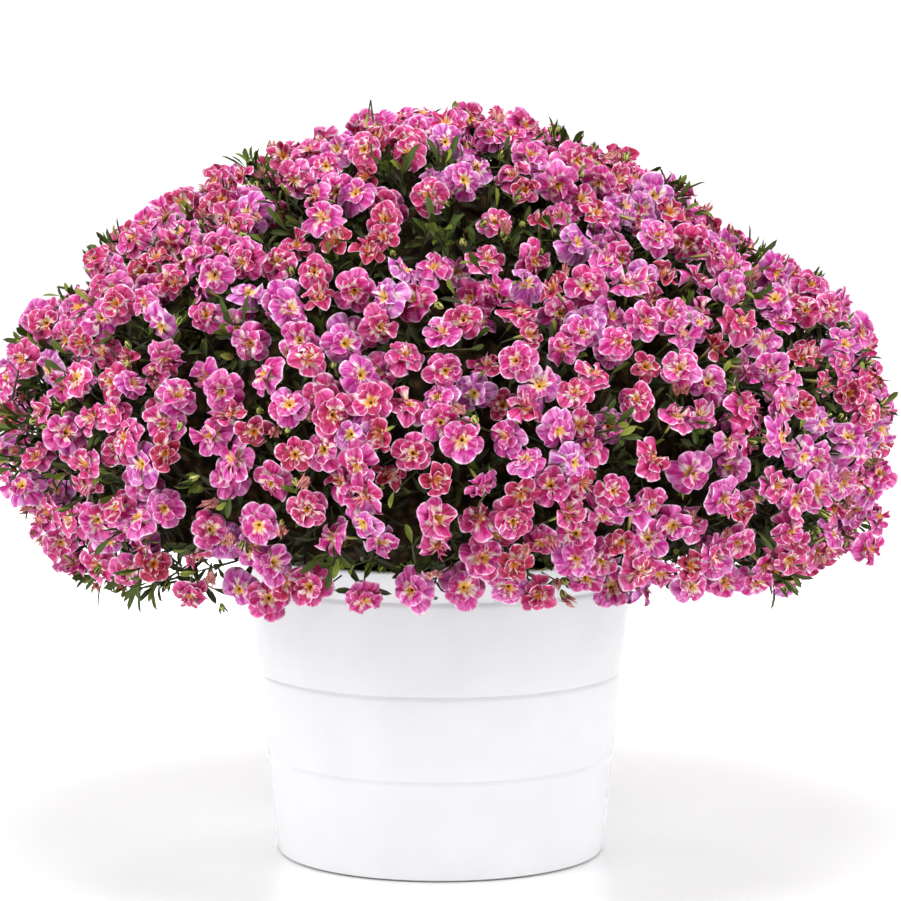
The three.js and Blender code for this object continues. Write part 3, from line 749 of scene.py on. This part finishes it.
def addBud(heap, rng, at, axis):
    u, v, _ = budGrid
    profile = np.interp(v, [0, 0.25, 0.5, 0.75, 1], extras["budProfile"])
    ridges = 1 + 0.12 * np.cos(5 * (u * np.pi))
    radius = extras["budRadius"] * rng.uniform(0.8, 1.2) * profile * ridges
    points = ringAt(u, radius, extras["budLength"] * (v - 0.5))
    axes = axesOf(axis, 0.0)
    addSheets(heap, at + points @ axes, budGrid, 0.5, rng.uniform(), isBud)
    sepals = whorl(rng, sepalForm, sepalGrid, 0.0, rng.uniform(*extras["sepalRadius"])) @ axes
    foot = at - extras["sepalDrop"] * axis
    addSheets(heap, foot + sepals, sepalGrid, 0.55, rng.uniform(0, 1, 5), isSepal)


def addWithered(heap, rng, at, axis):
    axes = axesOf(axis, rng.uniform(0, 6.3))
    radius = rng.uniform(*extras["witheredRadius"])
    for size, turn in ((1.0, 0.0), (0.75, 0.5)):
        points = whorl(rng, witheredForm, lobeGrids[1], turn, radius * size)
        addSheets(heap, at + points @ axes, lobeGrids[1], 0.5, rng.uniform(0, 1, 6), isWithered)


stalkForm = {"length": 0.010, "inwards": 0.07, "bent": (0.001, 0.002), "radii": (0.0006, 0.0006, 0.0007)}


# Every flower with its stalk, which goes back and then a small share of the way to the centre.
def growFlowers(rng, blooms, foliage):
    s = stalkForm
    for place in flowers:
        foot = addFlower(blooms[place["stem"]], rng, place)
        path = [foot, foot - place["axis"] * s["length"] + rng.normal(0, s["bent"][0], 3)]
        path.append(path[1] + (moundCentre - path[1]) * s["inwards"] + rng.normal(0, s["bent"][1], 3))
        addTube(foliage[place["stem"]], path, s["radii"], 3, 0.5, rng.uniform(), isStem)


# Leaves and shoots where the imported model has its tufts, and shoots all over the mound between.
def growShoots(rng, foliage):
    s = leafForm
    for leaf in cadLeaves:
        heap = foliage[leaf["stem"]]
        out = leaf["tip"] - leaf["root"]
        length = np.linalg.norm(out)
        up = unit(leaf["root"] - moundCentre)
        addLeaves(heap, rng, leaf["root"][None], (out / length)[None], up[None], np.array([length]), 0.5)
        tip = leaf["root"] + up * s["tuftRise"]
        addShoot(heap, rng, tip, tilted(rng, up, s["tuftTilt"]), s["tuftShoot"])
    cells = {"size": s["shootSpacing"]}
    shoots = 0
    for _ in range(s["shootTries"]):
        point, normal, stem = randomSpot(rng, *s["fromPacked"])
        if belowHem(point) > s["hem"] or near(cells, point, s["shootSpacing"]):
            continue
        if inParting(point) and rng.uniform() < s["partingBare"]:
            continue
        keepPoint(cells, point, None)
        shoots += 1
        standing = rng.uniform() < s["standing"] and belowHem(point) < s["standingHem"]
        height = rng.uniform(*s["standingHeight" if standing else "shootHeight"])
        height -= s["crownDrop"] * max(normal[2], 0.0) ** 4
        tip = point + normal * height
        tip -= normal * aboveFlower(tip, s["underFlower"])
        axis = tilted(rng, normal, s["tilt"])
        axis[2] = max(axis[2], s["lowest"])
        addShoot(foliage[stem], rng, tip, unit(axis))
    print("shoots:", shoots)
    for spot in flowerPlaces["trailing"]:
        tip = np.array(spot)
        _, normal, owner = surfaceAt(tip - moundCentre)
        axis = unit(tip - cadFlowers[owner]["throat"] + 0.02 * normal)
        addShoot(foliage[cadFlowers[owner]["stem"]], rng, tip - 0.006 * normal, axis, tall=s["trailingTall"])


# Short shoots that lean out over the pot's rim, and more of them that hang where the mound parts.
def growRim(rng, foliage):
    s = leafForm
    step = 2 * math.pi / s["rimShoots"]
    turns = [("rim", step * (i + rng.uniform(-0.35, 0.35))) for i in range(s["rimShoots"])]
    turns += [("parting", turn) for turn in np.linspace(*s["partingTurn"], s["partingShoots"])]
    for place, azimuth in turns:
        out = np.array([math.cos(azimuth), math.sin(azimuth), 0.0])
        tip = out * rng.uniform(*s[place + "Reach"])
        tip[2] = rng.uniform(*s[place + "Height"])
        stem = cadFlowers[surfaceAt(tip - moundCentre)[2]]["stem"]
        axis = unit(out + [0.0, 0.0, rng.uniform(*s[place + "Rise"])])
        addShoot(foliage[stem], rng, tip, axis)


# Single leaves in the shade under the flowers, at all angles. They take the darkest, brownest leaf tones as
# painted shade.
def growInner(rng, foliage):
    for _ in range(leafForm["inner"]):
        point, normal, stem = randomSpot(rng, *leafForm["innerFromPacked"])
        if inParting(point) or belowHem(point) > 0.0:
            continue
        root = point - normal * rng.uniform(*leafForm["innerDepth"])
        along = unit(rng.normal(size=3) + 0.4 * normal)
        up = unit(normal + 0.5 * rng.normal(size=3))
        addLeaves(foliage[stem], rng, root[None], along[None], up[None],
                  rng.uniform(*leafForm["length"], 1), rng.uniform(*leafForm["innerShadeTone"], 1))


def growExtras(rng, blooms):
    for i in range(extras["buds"] + extras["withered"]):
        point, normal, stem = randomSpot(rng, *extras["fromPacked"])
        at = point + normal * rng.uniform(*extras["height"])
        axis = tilted(rng, normal, extras["tilt"])
        if aboveFlower(at, extras["clear"]) or belowHem(at) > 0.02 or inParting(at):
            continue
        addExtra = addBud if i < extras["buds"] else addWithered
        addExtra(blooms[stem], rng, at, axis)


# Two pieces stand for each packed stem: its flowers and its foliage.
def growPlant():
    blooms = [newHeap() for _ in stems]
    foliage = [newHeap() for _ in stems]
    rng = np.random.default_rng(leafForm["seed"])
    growFlowers(rng, blooms, foliage)
    growShoots(rng, foliage)
    growRim(rng, foliage)
    growInner(rng, foliage)
    growExtras(np.random.default_rng(extras["seed"]), blooms)
    leafStuff = [leafMaterial(), stemMaterial()]
    bloomStuff = [petalMaterial(), tubeMaterial("throat", tubeForm["inside"]),
                  tubeMaterial("flowerTube", tubeForm["outside"]), budMaterial(), witheredMaterial(),
                  leafStuff[0]]
    total = 0
    for i, stem in enumerate(stems):
        number = stem["node"].split("_")[-1]
        for kind, heap, stuff in (("flowers", blooms[i], bloomStuff), ("foliage", foliage[i], leafStuff)):
            piece = makePiece(f"{kind}_{number}", heap, stuff)
            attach(piece, "root")
            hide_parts(stem["node"])
            total += 2 * len(piece.data.polygons)
    print("plant:", total, "triangles")


growPlant()

# The twiggy inside of the mound: a lumpy shell this deep under the leafy surface, painted dark as the shade
# there.
twigShadeShell = {
    "depth": 0.034, "rows": 44, "turns": 120, "above": 0.07, "lump": 0.0042, "lumpScale": 160,
    "rough": 0.001, "seed": 5, "underside": (0.75, 0.5), "underRise": 0.05,
}


def twigShadeMaterial():
    # Inside of the plant: old leaves and twigs in deep shade. The shade is painted: brown to nearly black in
    # patches of about 8 mm.
    material, add, shader = newMaterial("twigsPaintedShade")
    place = add("TexCoord").outputs["Object"]
    cells = add("TexVoronoi", {"Vector": place, "Scale": 130.0})
    # painted shade: brown to nearly black in patches
    colour = add("ValToRGB", [cells], [(0.0, "4a3a1e"), (0.4, "2c2012"), (0.75, "120c08")])
    setInputs(shader, {"Base Color": colour, "Roughness": 1.0, "Specular IOR Level": 0.1})
    return material


def makeTwigShadeShell():
    s = twigShadeShell
    rng = np.random.default_rng(s["seed"])
    rows, turns = s["rows"], s["turns"]
    points = []
    for r in range(rows):
        for t in range(turns):
            azimuth = 2 * math.pi * t / turns
            hem = np.interp((azimuth + math.pi) % (2 * math.pi) - math.pi, hemAzimuths, hemPolars)
            polar = 0.02 + (hem - s["above"]) * r / (rows - 1)
            towards = np.array([math.sin(polar) * math.cos(azimuth),
                                math.sin(polar) * math.sin(azimuth), math.cos(polar)])
            point = surfaceAt(towards)[0]
            inner = np.linalg.norm(point - moundCentre) - s["depth"]
            inner += s["lump"] * patchy(point, s["lumpScale"], 8) + rng.normal(0, s["rough"])
            points.append(moundCentre + inner * towards)
    # the underside draws in over the rim
    for share in s["underside"]:
        for x, y, z in points[(rows - 1) * turns:rows * turns]:
            points.append(np.array([x * share, y * share, z + s["underRise"] * (1 - share)]))
    faces = ringFaces(rows + len(s["underside"]), turns, flip=True)
    points.append((points[0] + points[turns // 2]) / 2)
    faces += [(len(points) - 1, t, (t + 1) % turns) for t in range(turns)]
    piece = newObject("inner_twigs_painted_shade", [tuple(p) for p in points], faces, [twigShadeMaterial()])
    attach(piece, "root")


makeTwigShadeShell()
print("thicket made")


# A turned solid, closed by a flat face at each end of its profile.
def lathe(name, profile, turns, material):
    faces = ringFaces(len(profile), turns)
    faces.append(tuple(reversed(range(turns))))
    faces.append(tuple(range((len(profile) - 1) * turns, len(profile) * turns)))
    return newObject(name, ringPoints(profile, turns), faces, [material])


def potProfile():
    s = potForm
    profile = [(s["base"] - 0.012, 0.0), (s["base"] - s["chamfer"], 0.0)]
    for i in range(1, 5):
        a = math.radians(-90 + 90 * i / 4)
        profile.append((s["base"] - s["chamfer"] + s["chamfer"] * math.cos(a),
                        s["chamfer"] + s["chamfer"] * math.sin(a)))
    low, radius = s["chamfer"], s["base"]
    for height, wide in s["shoulders"]:
        # a straight flare, then a rounded shoulder and a crease under the next band
        start = height - s["drop"]
        for i in range(1, 7):
            share = i / 7
            profile.append((radius + (wide - radius) * share, low + (start - low) * share))
        for i in range(0, 9):
            rise = s["rounded"] * i / 8
            profile.append((wide - rise * rise / (2 * s["bend"]), start + rise))
        radius = wide - s["rounded"] ** 2 / (2 * s["bend"])
        low = start + s["rounded"]
        profile += [(radius - 0.00005, low + 0.0002), (radius, low + 0.0006)]
        low += 0.0008
    top, lip = s["height"], s["lip"]
    for i in range(1, 5):
        share = i / 5
        profile.append((radius + (s["rim"] - radius) * share, low + (top - 0.003 - low) * share))
    for i in range(0, 9):
        a = math.radians(180 * i / 8)
        profile.append((s["rim"] - lip + lip * math.cos(a), top - lip + lip * math.sin(a)))
    profile += [(s["innerRim"], 0.208), (s["innerBase"] + 0.002, s["floor"] + 0.003),
                (s["innerBase"], s["floor"]), (0.02, s["floor"])]
    return profile


def potMaterial():
    # Glazed earthenware: white glaze poured over turned clay, so it is glossy with a faint swell.
    material, add, shader = newMaterial("whiteGlaze")
    place = add("TexCoord").outputs["Object"]
    # The glaze pools in patches of about 4 cm; they are only just seen.
    pool = add("TexNoise", {"Vector": place, "Scale": 25.0, "Detail": 2.0})
    glaze = add("ValToRGB", [pool], [(0.3, "ebebee"), (0.7, "efeff2")])
    # The lowest millimetre is a thin dark line: bare clay, wiped clean of glaze for the kiln, and darkened
    # further as painted shadow where the pot meets the floor.
    parts = add("SeparateXYZ", [place])
    bareClayAndShadow = add("MapRange", [parts.outputs[2], 0.0010, 0.0016, 1.0, 0.0])
    colour = add("Mix", {0: bareClayAndShadow, 6: glaze, 7: linear("6f665f")}, data_type="RGBA").outputs[2]
    swell = add("Bump", {"Height": pool, "Strength": 0.12, "Distance": 0.0006})
    setInputs(shader, {"Base Color": colour, "Normal": swell, "Roughness": 0.12, "IOR": 1.5})
    return material


pot = lathe("glazed_pot", potProfile(), potForm["turns"], potMaterial())
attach(pot, "root")
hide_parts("pot")
print("pot made")

soilForm = {
    "radius": 0.1305, "base": (0.110, 0.0085), "top": 0.198, "rings": 36, "turns": 120, "seed": 7,
    "lump": 0.0012, "lumpScale": 260, "rough": 0.0009,  # crumbs stand up and sink by this much
}


def soilMaterial():
    # Potting mix: damp peat crumbs of 2 to 3 mm, rough and matt, from brown to nearly black.
    material, add, shader = newMaterial("peatCrumbs")
    place = add("TexCoord").outputs["Object"]
    crumbs = add("TexVoronoi", {"Vector": place, "Scale": 420.0})
    colour = add("ValToRGB", [crumbs], [(0.0, "4a3626"), (0.4, "2c2018"), (0.9, "140e09")])
    bump = add("Bump", {"Height": crumbs, "Strength": 0.8, "Distance": 0.0012})
    setInputs(shader, {"Base Color": colour, "Normal": bump, "Roughness": 0.95})
    return material


def makeSoil():
    s = soilForm
    rng = np.random.default_rng(s["seed"])
    profile = [s["base"], (s["radius"] - 0.0008, s["top"] - 0.004)]
    profile += [(s["radius"] * (1 - i / s["rings"]), s["top"]) for i in range(s["rings"])]
    soil = lathe("potting_mix", profile, s["turns"], soilMaterial())
    for vertex in soil.data.vertices:
        if vertex.co.z > s["top"] - 0.001:
            point = np.array(vertex.co)
            lump = s["lump"] * patchy(point, s["lumpScale"], 2)
            vertex.co.z += lump + s["rough"] * rng.normal() - s["lump"]
    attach(soil, "root")
    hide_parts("soil")


makeSoil()

mainStemForm = {
    "seed": 41, "points": 10, "sides": 8, "radii": (0.0024, 0.0013), "sunk": 0.006,
    "reach": 0.86,  # how far from the mound's centre to its surface a stem goes
    "wobble": 0.0012,
}


# A bent stem for each packed one, from the soil up and then outwards to its flowers.
def makeMainStems():
    s = mainStemForm
    rng = np.random.default_rng(s["seed"])
    heap = newHeap()
    share = np.linspace(0, 1, s["points"])[:, None]
    for stem in stems:
        foot = stem["foot"].copy()
        foot[2] = soilForm["top"] - s["sunk"]
        middle = np.mean([f["throat"] for f in stem["flowers"]], axis=0)
        end = moundCentre + (middle - moundCentre) * s["reach"]
        bend = np.linalg.norm(end - foot) / 3
        a, b, c, d = foot, foot + [0, 0, bend], end - unit(end - moundCentre) * bend, end
        path = ((1 - share) ** 3 * a + 3 * share * (1 - share) ** 2 * b
                + 3 * share ** 2 * (1 - share) * c + share ** 3 * d)
        path[1:-1] += rng.normal(0, s["wobble"], (s["points"] - 2, 3))
        addTube(heap, path, np.linspace(*s["radii"], s["points"]), s["sides"], 0.5, rng.uniform(), 0)
    piece = makePiece("main_stems", heap, [bpy.data.materials["greenStem"]])
    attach(piece, "root")


makeMainStems()
print("soil and stems made")

studio = {
    "world": 0.06, "floor": 2.0, "reach": 7.0, "wallHeight": 1.8, "sides": 96,
    "floorGlow": (0.12, 0.75), "glowFrom": 0.25, "glowTo": 1.4,  # metres from the pot
    "aim": (0.0, 0.0, 0.25),
    "lamps": [  # place, size, watts
        ((-1.60, -1.10, 1.56), (1.0, 1.5), 40),
        ((1.60, -1.10, 1.56), (1.0, 1.5), 37),
        ((-1.50, -1.16, 0.50), (0.9, 0.40), 4),
        ((1.50, -1.16, 0.50), (0.9, 0.40), 4),
        ((0.0, -0.7, 2.6), (1.0, 1.0), 27),
        ((-1.70, 1.50, 1.35), (1.0, 1.6), 13),
        ((1.70, 1.50, 1.35), (1.0, 1.6), 13),
        ((0.0, 1.9, 1.50), (1.0, 1.0), 28),
    ],
    "camera": (0.007, -2.590, 0.5694), "pitch": 6.4, "lens": 150.6,
}


# A round floor that glows more towards its edge, and past it a white sweep that only shows as white.
def makeRoom():
    s = studio
    # Satin white paint, with patches of about 30 cm that are hardly seen.
    floorMaterial, add, shader = newMaterial("paintedFloor")
    place = add("TexCoord").outputs["Object"]
    noise = add("TexNoise", {"Vector": place, "Scale": 3.0})
    colour = add("ValToRGB", [noise], [(0.3, "f5f5f6"), (0.7, "f8f8f9")])
    away = add("VectorMath", [place], operation="LENGTH").outputs["Value"]
    glow = add("MapRange", [away, s["glowFrom"], s["glowTo"], *s["floorGlow"]], **eased)
    setInputs(shader, {"Base Color": colour, "Emission Strength": glow, "Roughness": 0.35,
                       "Emission Color": linear("ffffff")})
    # White paper with light behind it.
    sweepMaterial, _, shader = newMaterial("sweepPaper")
    setInputs(shader, {"Base Color": linear("f0f0f0"), "Emission Color": linear("ffffff"),
                       "Emission Strength": 1.0})
    points = ringPoints([(s["floor"], 0.0), (s["reach"], 0.0), (s["reach"], s["wallHeight"])], s["sides"])
    disc = [tuple(range(s["sides"]))]
    floor = newObject("floor", points[:s["sides"]], disc, [floorMaterial], smooth=False)
    sweep = newObject("sweep", points, ringFaces(3, s["sides"], flip=True), [sweepMaterial], smooth=False)
    sweep.visible_diffuse = False
    sweep.visible_glossy = False


def makeStudio():
    s = studio
    scene = bpy.context.scene
    scene.world = bpy.data.worlds.new("studio")
    scene.world.use_nodes = True
    setInputs(scene.world.node_tree.nodes["Background"], [linear("ffffff"), s["world"]])
    makeRoom()
    for i, (place, size, watts) in enumerate(s["lamps"]):
        light = bpy.data.lights.new(f"softbox{i}", "AREA")
        light.shape = "RECTANGLE"
        light.size, light.size_y = size
        light.energy = watts
        lamp = bpy.data.objects.new(f"softbox{i}", light)
        lamp.location = place
        aim = np.array(s["aim"]) - np.array(place)
        yaw = math.atan2(aim[0], -aim[1])
        lamp.rotation_euler = (math.atan2(math.hypot(aim[0], aim[1]), -aim[2]), 0, math.pi + yaw)
        # the lamps behind the pot would mirror in the floor
        lamp.visible_glossy = place[1] < 0
        scene.collection.objects.link(lamp)
    camera = bpy.data.objects.new("camera", bpy.data.cameras.new("camera"))
    camera.data.sensor_width = 36
    camera.data.lens = s["lens"]
    camera.location = s["camera"]
    camera.rotation_euler = (math.radians(90 - s["pitch"]), 0, 0)
    scene.collection.objects.link(camera)
    scene.camera = camera
    scene.view_settings.view_transform = "Standard"


makeStudio()
print("studio made")
